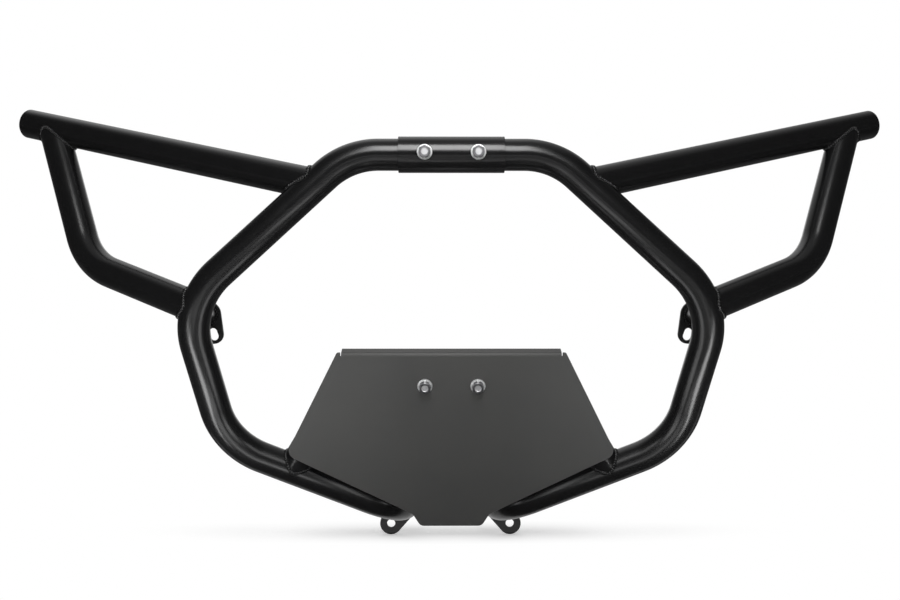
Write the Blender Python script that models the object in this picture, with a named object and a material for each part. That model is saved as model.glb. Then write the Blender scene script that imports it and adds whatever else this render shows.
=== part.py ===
"""ATV front bumper: bent steel tube, a folded skid plate, bolts and mounting tabs.

Metres. X is to the right for someone who faces the bumper, Y is to the rear, Z is up.
The two halves of the hoop are mirror images, "left" being the -X half. The origin is under the
middle of the bumper, at the height of its lowest point.
"""

import math

import bmesh
import bpy
from mathutils import Matrix, Vector
from mathutils.geometry import convex_hull_2d

# Tube stock and its bends
TUBE_RADIUS = 0.019
TUBE_WALL = 0.002
BEND_RADIUS = 0.092
REAR_BEND_RADIUS = 0.055

# Clearances, and how far a cutter runs past what it cuts
SEAT_GAP = 0.0003
HOLE_CLEARANCE = 0.0005
THREAD_CLEARANCE = 0.0003
JOINT_GAP = 0.001
CUT_REACH = 0.005

# Upper half of the hoop, with heights measured from the axis of its top run
TOP_CORNER_X = 0.1233
SIDE_CORNER_X = 0.3144
SIDE_CORNER_DROP = 0.1783
TOP_LEAN_ANGLE = math.radians(3.85)

# Lower half of the hoop, in a plane that tilts to the rear from the side corners down
LOWER_TILT_ANGLE = math.radians(20.0)
LEG_CORNER_X = 0.2795
LEG_CORNER_DROP = 0.1837
REAR_CORNER_X = 0.060
REAR_CORNER_DROP = 0.2812
REAR_RUN = 0.104

# Coupling sleeves
SLEEVE_WALL = 0.0022
SLEEVE_LENGTH = 0.126
BOLT_SPACING = 0.063

# Cross tube behind the skid plate
CROSS_DROP = 0.0947
CROSS_CORNER_X = 0.125
CROSS_FOOT_X = 0.198

# Wings
RAIL_ROOT_DROP = 0.0355
RAIL_END_X = 0.5628
RAIL_END_BACK = 0.1503
RAIL_END_RISE = 0.0632
BRACE_SETBACK = 0.040
BRACE_CORNER_X = 0.4555
BRACE_CORNER_BACK = 0.070
BRACE_CORNER_DROP = 0.1273
BRACE_ROOT_SHARE = 0.5
END_CAP_DOME = 0.004
END_CAP_EDGE = 0.0015

# Skid plate, measured from the line of its two bolts
PLATE_THICKNESS = 0.003
PLATE_TOP = 0.042
PLATE_TOP_HALF = 0.135
PLATE_SHOULDER = -0.093
PLATE_SHOULDER_HALF = 0.202
PLATE_SHOULDER_RADIUS = 0.012
PLATE_NOTCH = -0.177
PLATE_NOTCH_HALF = 0.048
PLATE_NOTCH_RADIUS = 0.006
PLATE_FOOT = -0.194
PLATE_FOOT_HALF = 0.0385
PLATE_FOOT_RADIUS = 0.008
PLATE_TOP_RADIUS = 0.003
FLANGE_EAR = 0.005
FLANGE_DEPTH = 0.0145
FOLD_RADIUS = 0.0045
FOLD_STEPS = 5
RELIEF_WIDTH = 0.001

# M8 hex flange bolts and nuts
BOLT_RADIUS = 0.004
HEX_ACROSS_FLATS = 0.013
WASHER_RADIUS = 0.00895
WASHER_EDGE = 0.0012
WASHER_RISE = 0.0022
HEAD_HEIGHT = 0.0080
NUT_HEIGHT = 0.0080
CHAMFER_ANGLE = math.radians(30.0)
CHAMFER_FACE_SHARE = 0.95
HEAD_DISH = 0.0006
HEAD_DISH_RIM = 0.0016
BOLT_PROUD = 0.0035
BOLT_TIP_CHAMFER = 0.0008

# Upper mounting tabs, on a standoff behind the side bend
STANDOFF_SHARE = 0.6
STANDOFF_RADIUS = 0.013
STANDOFF_WALL = 0.003
UPPER_TAB_BACK = 0.050
UPPER_TAB_THICKNESS = 0.005
UPPER_TAB_RADIUS = 0.0175
UPPER_LOBE_RADIUS = 0.012
UPPER_LOBE_INWARD = 0.0088
UPPER_LOBE_DROP = 0.0242
UPPER_SLOT_WIDTH = 0.0105
UPPER_SLOT_LENGTH = 0.0156

# Lower mounting tabs, on the rear ends of the hoop
LOWER_TAB_THICKNESS = 0.005
LOWER_PAD_RADIUS = 0.025
LOWER_LOBE_RADIUS = 0.0152
LOWER_LOBE_OUTWARD = 0.0222
LOWER_LOBE_DROP = 0.0397
LOWER_HOLE_RADIUS = 0.0057

# How finely round forms are drawn
TUBE_SIDES = 20
BEND_STEP_ANGLE = math.radians(10.0)
TAB_SIDES = 24
HOLE_SIDES = 12
FASTENER_SIDES = 18
CORNER_STEPS = 4
DOME_STEPS = 4
SHARP_ANGLE = math.radians(35.0)

# Sizes that follow from the ones above
SLEEVE_RADIUS = TUBE_RADIUS + SEAT_GAP + SLEEVE_WALL
PLATE_BACK = TUBE_RADIUS + SEAT_GAP
FLANGE_HALF = PLATE_TOP_HALF - FLANGE_EAR
HEX_CORNER_RADIUS = HEX_ACROSS_FLATS / math.sqrt(3.0)
HEX_FACE_RADIUS = HEX_ACROSS_FLATS / 2.0 * CHAMFER_FACE_SHARE
HOOP_BEND_RADII = (BEND_RADIUS, BEND_RADIUS, BEND_RADIUS, REAR_BEND_RADIUS)
SIDES = {"left": -1, "right": 1}


def finish(name, colour, roughness, metallic):
    """A painted or plated surface."""
    material = bpy.data.materials.new(name)
    material.use_nodes = True
    shader = material.node_tree.nodes["Principled BSDF"]
    shader.inputs["Base Color"].default_value = (*colour, 1.0)
    shader.inputs["Roughness"].default_value = roughness
    shader.inputs["Metallic"].default_value = metallic
    return material


def add_object(name, form, parent, place, material):
    """An object whose form is given round its own place in the parent's frame."""
    form.transform(Matrix(place).inverted())
    mesh = bpy.data.meshes.new(name)
    form.to_mesh(mesh)
    form.free()
    thing = bpy.data.objects.new(name, mesh)
    bpy.context.scene.collection.objects.link(thing)
    thing.parent = parent
    thing.matrix_local = place
    if material is not None:
        mesh.materials.append(material)
    return thing


def add_cutter(name, form, parent):
    """A solid that only removes material."""
    cutter = add_object(name, form, parent, Matrix(), None)
    cutter.hide_render = True
    cutter.display_type = "WIRE"
    return cutter


def bake(thing):
    """Makes the modifiers' result the object's own mesh."""
    bpy.context.view_layer.update()
    graph = bpy.context.evaluated_depsgraph_get()
    mesh = bpy.data.meshes.new_from_object(thing.evaluated_get(graph))
    thing.modifiers.clear()
    thing.data = mesh


def give_wall(thing, thickness):
    """Turns a skin into sheet or tube wall, inward from the skin."""
    wall = thing.modifiers.new("wall", "SOLIDIFY")
    wall.thickness = thickness
    wall.offset = -1.0
    wall.use_even_offset = True


def cut(thing, *cutters):
    """Removes each cutter's space from a piece."""
    for cutter in cutters:
        step = thing.modifiers.new("cut by " + cutter.name, "BOOLEAN")
        step.operation = "DIFFERENCE"
        step.solver = "EXACT"
        step.object = cutter


def shade(thing):
    """Shades round faces smooth and keeps real edges sharp."""
    thing.data.shade_smooth()
    thing.data.set_sharp_from_angle(angle=SHARP_ANGLE)


def mirrored(point, side):
    """A point of the right half, taken to the side asked for."""
    return Vector((side * point.x, point.y, point.z))


def bends(corners, bend_radii):
    """The arc at each inner corner: where it starts, its centre, axis and angle."""
    arcs = []
    for before, corner, after, radius in zip(corners, corners[1:], corners[2:], bend_radii):
        inward = (corner - before).normalized()
        onward = (after - corner).normalized()
        angle = inward.angle(onward)
        start = corner - inward * radius * math.tan(angle / 2.0)
        axis = inward.cross(onward).normalized()
        arcs.append((start, start + axis.cross(inward) * radius, axis, angle))
    return arcs


def point_on_side_bend(corners, turn):
    """The centre-line point that lies a share of the way round the hoop's side bend."""
    start, centre, axis, angle = bends(corners, HOOP_BEND_RADII)[1]
    return centre + Matrix.Rotation(angle * turn, 3, axis) @ (start - centre)


def ring(form, centre, direction, radius, sides):
    """Draws a circle that faces along a direction and gives its edges."""
    place = Matrix.Translation(centre) @ direction.to_track_quat("Z", "Y").to_matrix().to_4x4()
    made = bmesh.ops.create_circle(form, segments=sides, radius=radius, matrix=place)
    return list({edge for vert in made["verts"] for edge in vert.link_edges})


def swept(corners, radius, bend_radii=(), capped=False):
    """The skin of a bent round tube, or a solid bent bar where its ends are capped.

    A ring is drawn along each straight run and spun round each bend, as a tube bender works.
    """
    form = bmesh.new()
    edges = ring(form, corners[0], (corners[1] - corners[0]).normalized(), radius, TUBE_SIDES)
    start_edges = edges
    here = corners[0]
    for start, centre, axis, angle in bends(corners, bend_radii):
        edges = drawn(form, edges, start - here)
        steps = math.ceil(angle / BEND_STEP_ANGLE)
        spun = bmesh.ops.spin(
            form, geom=edges, cent=centre, axis=axis, angle=angle, steps=steps, use_duplicate=False
        )
        edges = [item for item in spun["geom_last"] if isinstance(item, bmesh.types.BMEdge)]
        here = centre + Matrix.Rotation(angle, 3, axis) @ (start - centre)
    edges = drawn(form, edges, corners[-1] - here)
    if capped:
        bmesh.ops.contextual_create(form, geom=start_edges)
        bmesh.ops.contextual_create(form, geom=edges)
    bmesh.ops.recalc_face_normals(form, faces=form.faces)
    return form


def drawn(form, edges, shift):
    """Extrudes edges by a shift and gives the new ones."""
    grown = bmesh.ops.extrude_edge_only(form, edges=edges)["geom"]
    moved = [item for item in grown if isinstance(item, bmesh.types.BMVert)]
    bmesh.ops.translate(form, verts=moved, vec=shift)
    return [item for item in grown if isinstance(item, bmesh.types.BMEdge)]


def turned(profile, sides=FASTENER_SIDES):
    """A solid turned about Z from a closed outline of (radius, height) points."""
    form = bmesh.new()
    verts = [form.verts.new((radius, 0.0, height)) for radius, height in profile]
    edges = []
    for start, end in zip(verts, verts[1:] + verts[:1]):
        if start.co.x + end.co.x > 0.0:
            edges.append(form.edges.new((start, end)))
    bmesh.ops.spin(
        form,
        geom=verts + edges,
        cent=(0.0, 0.0, 0.0),
        axis=(0.0, 0.0, 1.0),
        angle=math.tau,
        steps=sides,
        use_merge=True,
    )
    bmesh.ops.remove_doubles(form, verts=form.verts, dist=1e-6)
    bmesh.ops.recalc_face_normals(form, faces=form.faces)
    return form


def slab(outline, thickness):
    """A flat plate: an outline of (x, z) points with its front at y = 0, drawn to the rear."""
    form = bmesh.new()
    face = form.faces.new([form.verts.new((x, 0.0, z)) for x, z in outline])
    grown = bmesh.ops.extrude_face_region(form, geom=[face], use_keep_orig=True)["geom"]
    moved = [item for item in grown if isinstance(item, bmesh.types.BMVert)]
    bmesh.ops.translate(form, verts=moved, vec=(0.0, thickness, 0.0))
    bmesh.ops.recalc_face_normals(form, faces=form.faces)
    return form


def hull_of_circles(circles, sides=TAB_SIDES):
    """The outline of a belt pulled tight round circles given as (x, z, radius)."""
    points = []
    for x, z, radius in circles:
        for step in range(sides):
            angle = math.tau * step / sides
            points.append(Vector((x + radius * math.cos(angle), z + radius * math.sin(angle))))
    return [points[index] for index in convex_hull_2d(points)]


def rounded(corners):
    """An outline of (x, z) points from corners given as (x, z, radius)."""
    outline = []
    count = len(corners)
    for index, (x, z, radius) in enumerate(corners):
        corner = Vector((x, z))
        if radius == 0.0:
            outline.append(corner)
            continue
        before = (Vector(corners[index - 1][:2]) - corner).normalized()
        after = (Vector(corners[(index + 1) % count][:2]) - corner).normalized()
        half = before.angle(after) / 2.0
        centre = corner + (before + after).normalized() * radius / math.sin(half)
        start = corner + before * radius / math.tan(half) - centre
        end = corner + after * radius / math.tan(half) - centre
        sweep = start.angle_signed(end)
        for step in range(CORNER_STEPS + 1):
            outline.append(centre + Matrix.Rotation(-sweep * step / CORNER_STEPS, 2) @ start)
    return outline


def along_y(length, radius, sides=HOLE_SIDES):
    """A round bar centred on the origin that lies along Y."""
    form = bmesh.new()
    turn = Matrix.Rotation(math.radians(90.0), 4, "X")
    bmesh.ops.create_cone(
        form, cap_ends=True, segments=sides, radius1=radius, radius2=radius, depth=length, matrix=turn
    )
    return form


def hoop_corners(side, lower_place):
    """Corner points of one half of the hoop, from the top joint to the rear end."""
    rear_corner = lower_place @ Vector((REAR_CORNER_X, 0.0, -REAR_CORNER_DROP))
    corners = [
        Vector((JOINT_GAP / 2.0, 0.0, 0.0)),
        Vector((TOP_CORNER_X, 0.0, 0.0)),
        lower_place @ Vector((SIDE_CORNER_X, 0.0, 0.0)),
        lower_place @ Vector((LEG_CORNER_X, 0.0, -LEG_CORNER_DROP)),
        rear_corner,
        rear_corner + Vector((0.0, REAR_RUN, 0.0)),
    ]
    return [mirrored(corner, side) for corner in corners]


def hoop_half(name, corners, frame, coat):
    """One bent tube, from the joint at the top to the rear end at the bottom."""
    skin = swept(corners, TUBE_RADIUS, HOOP_BEND_RADII)
    hoop = add_object(name + "_hoop_tube", skin, frame, Matrix.Translation(corners[1]), coat)
    give_wall(hoop, TUBE_WALL)
    space = swept(corners, TUBE_RADIUS + SEAT_GAP, HOOP_BEND_RADII, capped=True)
    return hoop, add_cutter(name + " hoop space", space, frame)


def wing(name, side, corners, hoop_space, frame, coat):
    """The straight rail, the bent brace under it and the domed cap on the rail's end."""
    top_corner, side_corner = corners[1], corners[2]
    diagonal = side_corner - top_corner
    rail_root = top_corner + diagonal * RAIL_ROOT_DROP / (top_corner.z - side_corner.z)
    rail_end = mirrored(Vector((RAIL_END_X, RAIL_END_BACK, RAIL_END_RISE)), side)
    rail_line = (rail_end - rail_root).normalized()
    rail_form = swept([rail_root, rail_end], TUBE_RADIUS)
    rail = add_object(name + "_wing_rail", rail_form, frame, Matrix.Translation(rail_root), coat)
    give_wall(rail, TUBE_WALL)
    cut(rail, hoop_space)

    rail_space_form = swept([rail_root, rail_end], TUBE_RADIUS + SEAT_GAP, capped=True)
    rail_space = add_cutter(name + " rail space", rail_space_form, frame)
    brace_top = rail_end - rail_line * BRACE_SETBACK
    brace_corner = mirrored(Vector((BRACE_CORNER_X, BRACE_CORNER_BACK, -BRACE_CORNER_DROP)), side)
    brace_root = point_on_side_bend(corners, BRACE_ROOT_SHARE)
    brace_corners = [brace_top, brace_corner, brace_root]
    brace_form = swept(brace_corners, TUBE_RADIUS, (BEND_RADIUS,))
    brace = add_object(name + "_wing_brace", brace_form, frame, Matrix.Translation(brace_corner), coat)
    give_wall(brace, TUBE_WALL)
    cut(brace, hoop_space, rail_space)
    brace_space_form = swept(brace_corners, TUBE_RADIUS + SEAT_GAP, (BEND_RADIUS,), capped=True)
    brace_space = add_cutter(name + " brace space", brace_space_form, frame)

    cap_place = Matrix.Translation(rail_end + rail_line * SEAT_GAP)
    cap_place @= rail_line.to_track_quat("Z", "Y").to_matrix().to_4x4()
    cap_form = turned(dome_profile(TUBE_RADIUS, END_CAP_DOME, END_CAP_EDGE), TUBE_SIDES)
    cap_form.transform(cap_place)
    cap = add_object(name + "_rail_end_cap", cap_form, frame, cap_place, coat)
    return [rail, brace, cap], brace_space


def dome_profile(radius, dome, edge):
    """Half outline of a shallow dished cap: a flat seat, a low rim and a domed face."""
    drop = dome - edge
    sphere = (radius * radius + drop * drop) / (2.0 * drop)
    reach = math.asin(radius / sphere)
    profile = [(0.0, 0.0), (radius, 0.0)]
    for step in range(DOME_STEPS + 1):
        angle = reach * (1.0 - step / DOME_STEPS)
        profile.append((sphere * math.sin(angle), dome - sphere + sphere * math.cos(angle)))
    return profile


def mounting(name, side, corners, spaces, frame, coat):
    """The tabs that bolt the bumper to the vehicle, and the upper tab's standoff."""
    root = point_on_side_bend(corners, STANDOFF_SHARE)
    seat = Vector((root.x, UPPER_TAB_BACK, root.z))
    standoff_form = swept([root, seat], STANDOFF_RADIUS)
    standoff = add_object(name + "_upper_standoff", standoff_form, frame, Matrix.Translation(seat), coat)
    give_wall(standoff, STANDOFF_WALL)
    cut(standoff, *spaces)

    lobe = Vector((-side * UPPER_LOBE_INWARD, -UPPER_LOBE_DROP))
    outline = hull_of_circles([(0.0, 0.0, UPPER_TAB_RADIUS), (*lobe, UPPER_LOBE_RADIUS)])
    upper_place = Matrix.Translation(seat + Vector((0.0, SEAT_GAP, 0.0)))
    upper_form = slab(outline, UPPER_TAB_THICKNESS)
    upper_form.transform(upper_place)
    upper = add_object(name + "_upper_mount_tab", upper_form, frame, upper_place, coat)
    half_run = lobe.normalized() * (UPPER_SLOT_LENGTH - UPPER_SLOT_WIDTH) / 2.0
    slot_ends = [(*(lobe + half_run * way), UPPER_SLOT_WIDTH / 2.0) for way in (-1.0, 1.0)]
    slot_form = slab(hull_of_circles(slot_ends, HOLE_SIDES), UPPER_TAB_THICKNESS + 2.0 * CUT_REACH)
    slot_form.transform(upper_place @ Matrix.Translation((0.0, -CUT_REACH, 0.0)))
    cut(upper, add_cutter(name + " slot space", slot_form, frame))

    lobe = Vector((side * LOWER_LOBE_OUTWARD, -LOWER_LOBE_DROP))
    outline = hull_of_circles([(0.0, 0.0, LOWER_PAD_RADIUS), (*lobe, LOWER_LOBE_RADIUS)])
    lower_place = Matrix.Translation(corners[-1] + Vector((0.0, SEAT_GAP, 0.0)))
    lower_form = slab(outline, LOWER_TAB_THICKNESS)
    lower_form.transform(lower_place)
    lower = add_object(name + "_lower_mount_tab", lower_form, frame, lower_place, coat)
    hole_form = along_y(2.0 * (LOWER_TAB_THICKNESS + CUT_REACH), LOWER_HOLE_RADIUS, TAB_SIDES)
    hole_form.transform(lower_place @ Matrix.Translation((lobe.x, 0.0, lobe.y)))
    cut(lower, add_cutter(name + " hole space", hole_form, frame))
    return [standoff, upper, lower]


def coupling(name, centre, frame, coat):
    """A sleeve over the joint of two tubes, with the drilled line of its two bolts."""
    reach = Vector((SLEEVE_LENGTH / 2.0, 0.0, 0.0))
    form = swept([centre - reach, centre + reach], SLEEVE_RADIUS)
    sleeve = add_object(name, form, frame, Matrix.Translation(centre), coat)
    give_wall(sleeve, SLEEVE_WALL)
    drill_length = 2.0 * (SLEEVE_RADIUS + PLATE_THICKNESS + CUT_REACH)
    drills = []
    for side_name, side in SIDES.items():
        drill = along_y(drill_length, BOLT_RADIUS + HOLE_CLEARANCE)
        drill.transform(Matrix.Translation(centre + Vector((side * BOLT_SPACING / 2.0, 0.0, 0.0))))
        drills.append(add_cutter(name + " " + side_name + " bolt space", drill, frame))
    cut(sleeve, *drills)
    return sleeve, drills


def combined(first, second, operation):
    """One solid made of two by a Boolean."""
    things = []
    for form in (first, second):
        things.append(add_object("working", form, None, Matrix(), None))
    step = things[0].modifiers.new("combine", "BOOLEAN")
    step.operation = operation
    step.solver = "EXACT"
    step.object = things[1]
    bake(things[0])
    result = bmesh.new()
    result.from_mesh(things[0].data)
    for thing in things:
        bpy.data.objects.remove(thing)
    return result


def hex_body(height):
    """The chamfered hexagon of a bolt head or nut, with its foot at z = 0."""
    prism = bmesh.new()
    bmesh.ops.create_cone(
        prism,
        cap_ends=True,
        segments=6,
        radius1=HEX_CORNER_RADIUS,
        radius2=HEX_CORNER_RADIUS,
        depth=height - WASHER_EDGE,
        matrix=Matrix.Translation((0.0, 0.0, (height + WASHER_EDGE) / 2.0)),
    )
    outside = HEX_CORNER_RADIUS + CUT_REACH
    chamfer_foot = height - (outside - HEX_FACE_RADIUS) * math.tan(CHAMFER_ANGLE)
    cone = [
        (0.0, 0.0),
        (outside, 0.0),
        (outside, chamfer_foot),
        (HEX_FACE_RADIUS, height),
        (0.0, height),
    ]
    return combined(prism, turned(cone), "INTERSECT")


def bolt_form(grip):
    """A flange bolt: seat at z = 0, head above it, shank through the grip and the nut below."""
    length = grip + NUT_HEIGHT + BOLT_PROUD
    shank = [
        (0.0, -length),
        (BOLT_RADIUS - BOLT_TIP_CHAMFER, -length),
        (BOLT_RADIUS, -length + BOLT_TIP_CHAMFER),
        (BOLT_RADIUS, 0.0),
        (WASHER_RADIUS, 0.0),
        (WASHER_RADIUS, WASHER_EDGE),
        (HEX_CORNER_RADIUS, WASHER_RISE),
        (0.0, WASHER_RISE),
    ]
    head = combined(turned(shank), hex_body(HEAD_HEIGHT), "UNION")
    rim = HEX_FACE_RADIUS - HEAD_DISH_RIM
    dish = [
        (0.0, HEAD_HEIGHT - HEAD_DISH),
        (rim - HEAD_DISH, HEAD_HEIGHT - HEAD_DISH),
        (rim + HEAD_DISH, HEAD_HEIGHT + HEAD_DISH),
        (0.0, HEAD_HEIGHT + HEAD_DISH),
    ]
    return combined(head, turned(dish), "DIFFERENCE")


def nut_form():
    """A flange nut with its seat at z = 0 and its clear bore."""
    washer = [
        (0.0, 0.0),
        (WASHER_RADIUS, 0.0),
        (WASHER_RADIUS, WASHER_EDGE),
        (HEX_CORNER_RADIUS, WASHER_RISE),
        (0.0, WASHER_RISE),
    ]
    blank = combined(turned(washer), hex_body(NUT_HEIGHT), "UNION")
    bore = BOLT_RADIUS + THREAD_CLEARANCE
    hole = [
        (0.0, -CUT_REACH),
        (bore, -CUT_REACH),
        (bore, NUT_HEIGHT + CUT_REACH),
        (0.0, NUT_HEIGHT + CUT_REACH),
    ]
    return combined(blank, turned(hole), "DIFFERENCE")


def fasteners(name, centre, front, frame, plating):
    """The two bolts and nuts that clamp one coupling, their heads to the front.

    front is the distance from the tube's axis forward to the face that the heads seat on.
    """
    back = SLEEVE_RADIUS + SEAT_GAP
    grip = front + SEAT_GAP + back
    head_turn = Matrix.Rotation(math.radians(90.0), 4, "X")
    nut_turn = Matrix.Rotation(math.radians(-90.0), 4, "X")
    pieces = []
    for side_name, side in SIDES.items():
        hole = centre + Vector((side * BOLT_SPACING / 2.0, 0.0, 0.0))
        head_place = Matrix.Translation(hole - Vector((0.0, front + SEAT_GAP, 0.0))) @ head_turn
        nut_place = Matrix.Translation(hole + Vector((0.0, back, 0.0))) @ nut_turn
        made = (("_bolt_", bolt_form(grip), head_place), ("_nut_", nut_form(), nut_place))
        for kind, form, place in made:
            form.transform(place)
            pieces.append(add_object(name + kind + side_name, form, frame, place, plating))
    return pieces


def cross_tube(name, side, hoop_space, centre, lower_frame, coat):
    """The tube that rises from the hoop's bottom run and turns in behind the skid plate."""
    along = (LEG_CORNER_X - CROSS_FOOT_X) / (LEG_CORNER_X - REAR_CORNER_X)
    foot_drop = LEG_CORNER_DROP + along * (REAR_CORNER_DROP - LEG_CORNER_DROP)
    corners = [
        centre + Vector((JOINT_GAP / 2.0, 0.0, 0.0)),
        centre + Vector((CROSS_CORNER_X, 0.0, 0.0)),
        Vector((CROSS_FOOT_X, 0.0, -foot_drop)),
    ]
    corners = [mirrored(corner, side) for corner in corners]
    form = swept(corners, TUBE_RADIUS, (BEND_RADIUS,))
    tube = add_object(name + "_cross_tube", form, lower_frame, Matrix.Translation(corners[1]), coat)
    give_wall(tube, TUBE_WALL)
    cut(tube, hoop_space)
    return tube


def skid_plate(bolt_line, drills, lower_frame, coat):
    """One sheet: the outline cut flat, its top edge folded to the rear, two bolt holes."""
    half = [
        (FLANGE_HALF, PLATE_TOP - FOLD_RADIUS, 0.0),
        (FLANGE_HALF + RELIEF_WIDTH, PLATE_TOP - FOLD_RADIUS, 0.0),
        (FLANGE_HALF + RELIEF_WIDTH, PLATE_TOP, 0.0),
        (PLATE_TOP_HALF, PLATE_TOP, PLATE_TOP_RADIUS),
        (PLATE_SHOULDER_HALF, PLATE_SHOULDER, PLATE_SHOULDER_RADIUS),
        (PLATE_NOTCH_HALF, PLATE_NOTCH, PLATE_NOTCH_RADIUS),
        (PLATE_FOOT_HALF, PLATE_FOOT, PLATE_FOOT_RADIUS),
    ]
    other_half = [(-x, z, radius) for x, z, radius in reversed(half)]
    form = bmesh.new()
    verts = [form.verts.new((x, 0.0, z)) for x, z in rounded(half + other_half)]
    form.faces.new(verts)
    fold_edge = form.edges.get((verts[0], verts[-1]))
    spun = bmesh.ops.spin(
        form,
        geom=[verts[0], verts[-1], fold_edge],
        cent=(0.0, FOLD_RADIUS, PLATE_TOP - FOLD_RADIUS),
        axis=(-1.0, 0.0, 0.0),
        angle=math.radians(90.0),
        steps=FOLD_STEPS,
        use_duplicate=False,
    )
    last_edge = [item for item in spun["geom_last"] if isinstance(item, bmesh.types.BMEdge)]
    drawn(form, last_edge, Vector((0.0, FLANGE_DEPTH - FOLD_RADIUS, 0.0)))
    bmesh.ops.recalc_face_normals(form, faces=form.faces)
    place = Matrix.Translation(bolt_line)
    form.transform(place)
    plate = add_object("skid_plate", form, lower_frame, place, coat)
    give_wall(plate, PLATE_THICKNESS)
    cut(plate, *drills)
    return plate


def stand_on_origin(frame, pieces):
    """Moves the whole bumper so that the origin is under its middle, at its lowest point."""
    bpy.context.view_layer.update()
    points = [piece.matrix_world @ vert.co for piece in pieces for vert in piece.data.vertices]
    lows = [min(point[axis] for point in points) for axis in range(3)]
    highs = [max(point[axis] for point in points) for axis in range(3)]
    frame.location = (-(lows[0] + highs[0]) / 2.0, -(lows[1] + highs[1]) / 2.0, -lows[2])
    bpy.context.view_layer.update()


def build():
    for thing in list(bpy.data.objects):
        bpy.data.objects.remove(thing)
    coat = finish("black_powder_coat", (0.012, 0.012, 0.013), 0.38, 0.0)
    plate_coat = finish("dark_grey_plate_coat", (0.055, 0.055, 0.055), 0.55, 0.0)
    plating = finish("bright_zinc_plating", (0.80, 0.81, 0.82), 0.28, 1.0)

    frame = bpy.data.objects.new("bumper_frame", None)
    bpy.context.scene.collection.objects.link(frame)
    lean_back = math.tan(TOP_LEAN_ANGLE) * SIDE_CORNER_DROP
    lower_place = Matrix.Translation((0.0, -lean_back, -SIDE_CORNER_DROP))
    lower_place @= Matrix.Rotation(LOWER_TILT_ANGLE, 4, "X")
    lower_frame = bpy.data.objects.new("lower_frame", None)
    bpy.context.scene.collection.objects.link(lower_frame)
    lower_frame.parent = frame
    lower_frame.matrix_local = lower_place

    plate_front = PLATE_BACK + PLATE_THICKNESS
    cross_centre = Vector((0.0, SLEEVE_RADIUS + SEAT_GAP - PLATE_BACK, -CROSS_DROP))
    top_centre = Vector()
    top_sleeve, top_drills = coupling("top_coupling_sleeve", top_centre, frame, coat)
    cross_sleeve, cross_drills = coupling("cross_coupling_sleeve", cross_centre, lower_frame, coat)
    pieces = [top_sleeve, cross_sleeve]
    for name, side in SIDES.items():
        corners = hoop_corners(side, lower_place)
        hoop, hoop_space = hoop_half(name, corners, frame, coat)
        cut(hoop, *top_drills)
        wing_pieces, brace_space = wing(name, side, corners, hoop_space, frame, coat)
        tube = cross_tube(name, side, hoop_space, cross_centre, lower_frame, coat)
        cut(tube, *cross_drills)
        pieces += [hoop, tube] + wing_pieces
        pieces += mounting(name, side, corners, (hoop_space, brace_space), frame, coat)
    plate = skid_plate(Vector((0.0, -plate_front, -CROSS_DROP)), cross_drills, lower_frame, plate_coat)
    pieces.append(plate)
    pieces += fasteners("top", top_centre, SLEEVE_RADIUS, frame, plating)
    pieces += fasteners("plate", cross_centre, plate_front + cross_centre.y, lower_frame, plating)

    for piece in pieces:
        bake(piece)
        shade(piece)
    for thing in list(bpy.data.objects):
        if thing.type == "MESH" and thing not in pieces:
            bpy.data.objects.remove(thing)
    stand_on_origin(frame, pieces)


build()
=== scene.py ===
# %% [markdown]
# # A tubular front bumper for a quad bike
# The real bumper is bent steel tube, coped and welded, with a folded skid plate and eight
# zinc-plated flange fasteners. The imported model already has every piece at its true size, but its
# round forms are faceted. Here each piece is drawn again with fine round forms and real edges,
# and gets its coat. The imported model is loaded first, because every place is taken from it.

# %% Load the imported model
import math

import bmesh
import bpy
from mathutils import Matrix, Vector
from mathutils.bvhtree import BVHTree
from mathutils.geometry import convex_hull_2d


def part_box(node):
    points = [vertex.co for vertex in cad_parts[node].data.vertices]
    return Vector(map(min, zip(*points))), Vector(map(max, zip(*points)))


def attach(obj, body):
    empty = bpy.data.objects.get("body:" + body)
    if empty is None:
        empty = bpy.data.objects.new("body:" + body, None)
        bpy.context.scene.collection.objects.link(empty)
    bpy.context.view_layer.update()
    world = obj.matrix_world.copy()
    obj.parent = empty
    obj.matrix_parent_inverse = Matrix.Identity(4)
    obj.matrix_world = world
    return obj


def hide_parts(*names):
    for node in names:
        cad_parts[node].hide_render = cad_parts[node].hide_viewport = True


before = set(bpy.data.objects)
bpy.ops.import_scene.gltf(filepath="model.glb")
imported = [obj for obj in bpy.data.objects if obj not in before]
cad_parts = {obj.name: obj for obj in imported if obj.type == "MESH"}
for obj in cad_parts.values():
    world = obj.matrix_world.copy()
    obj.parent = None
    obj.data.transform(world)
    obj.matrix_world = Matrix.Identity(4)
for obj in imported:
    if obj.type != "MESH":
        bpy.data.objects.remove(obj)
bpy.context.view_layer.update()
print("nodes in the packed model:", len(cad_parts))

# %% [markdown]
# ## The driving sizes
# A tube bender needs the corner points of the centre-line, the radius of its die and the tube's
# own size, so those are the values kept here. Heights are measured down from the axis of the top
# run, whose place comes from the box of the sleeve that is clamped round it.

# %% Sizes
TUBE_RADIUS = 0.019
TUBE_WALL = 0.002
BEND_RADIUS = 0.092
REAR_BEND_RADIUS = 0.055
SEAT_GAP = 0.0003
JOINT_GAP = 0.001

TOP_CORNER_X = 0.1233
SIDE_CORNER_X = 0.3144
SIDE_CORNER_DROP = 0.1783
TOP_LEAN = math.radians(3.85)
LOWER_TILT = math.radians(20.0)
LEG_CORNER_X = 0.2795
LEG_CORNER_DROP = 0.1837
REAR_CORNER_X = 0.060
REAR_CORNER_DROP = 0.2812
REAR_RUN = 0.104

CROSS_DROP = 0.0947
CROSS_CORNER_X = 0.125
CROSS_FOOT_X = 0.198

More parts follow.
